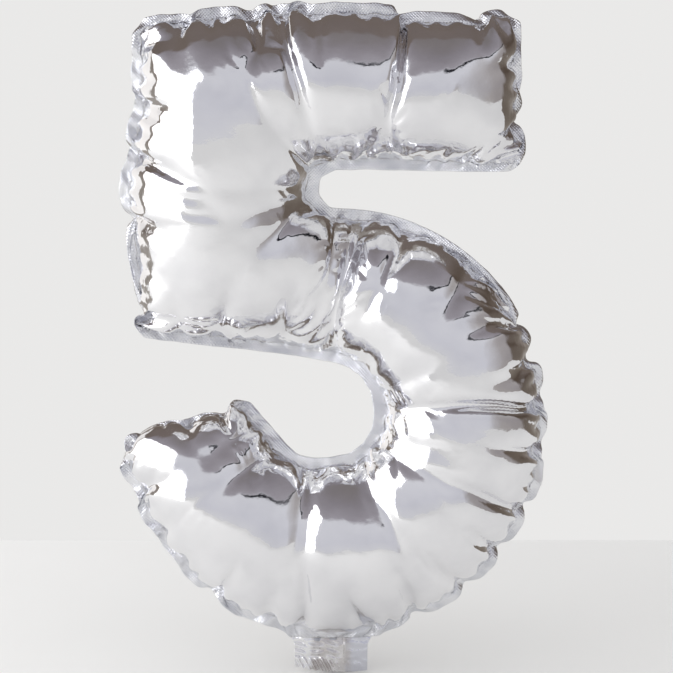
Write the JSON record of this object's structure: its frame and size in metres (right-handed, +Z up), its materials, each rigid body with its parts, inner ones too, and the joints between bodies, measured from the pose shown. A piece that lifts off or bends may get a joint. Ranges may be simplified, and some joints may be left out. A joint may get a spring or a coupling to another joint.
{
  "type": "foil number balloon",
  "caption": "Silver foil balloon in the shape of the digit five, two heat-sealed film panels with a welded rim and a flat self-closing valve in its neck.",
  "frame": {"origin": "middle of the neck where it leaves the welded rim, halfway between the front and back panels", "axes": "+X to the digit's right, +Y to the back, +Z up along the digit"},
  "size_m": [0.2557, 0.074, 0.399],
  "materials": {
    "foil": "mirror-bright metallised film",
    "valve_film": "clear film",
    "weld": "heat-sealed film",
    "release_coat": "printed heat-proof coat"
  },
  "bodies": {
    "balloon": {"front_foil_panel": "foil", "back_foil_panel": "foil", "perimeter_weld": "weld", "valve_front_film": "valve_film", "valve_back_film": "valve_film", "valve_side_welds": "weld", "valve_release_coat": "release_coat"},
    "neck": {"neck_front_foil": "foil", "neck_back_foil": "foil", "inlet_front_film": "valve_film", "inlet_back_film": "valve_film", "neck_side_welds": "weld", "inlet_side_welds": "weld"}
  },
  "joints": [
    {"name": "neck_fold", "type": "hinge", "parent": "balloon", "child": "neck", "pos_m": [0, 0, -0.001], "axis": [1, 0, 0], "range_deg": [-90, 90]}
  ]
}
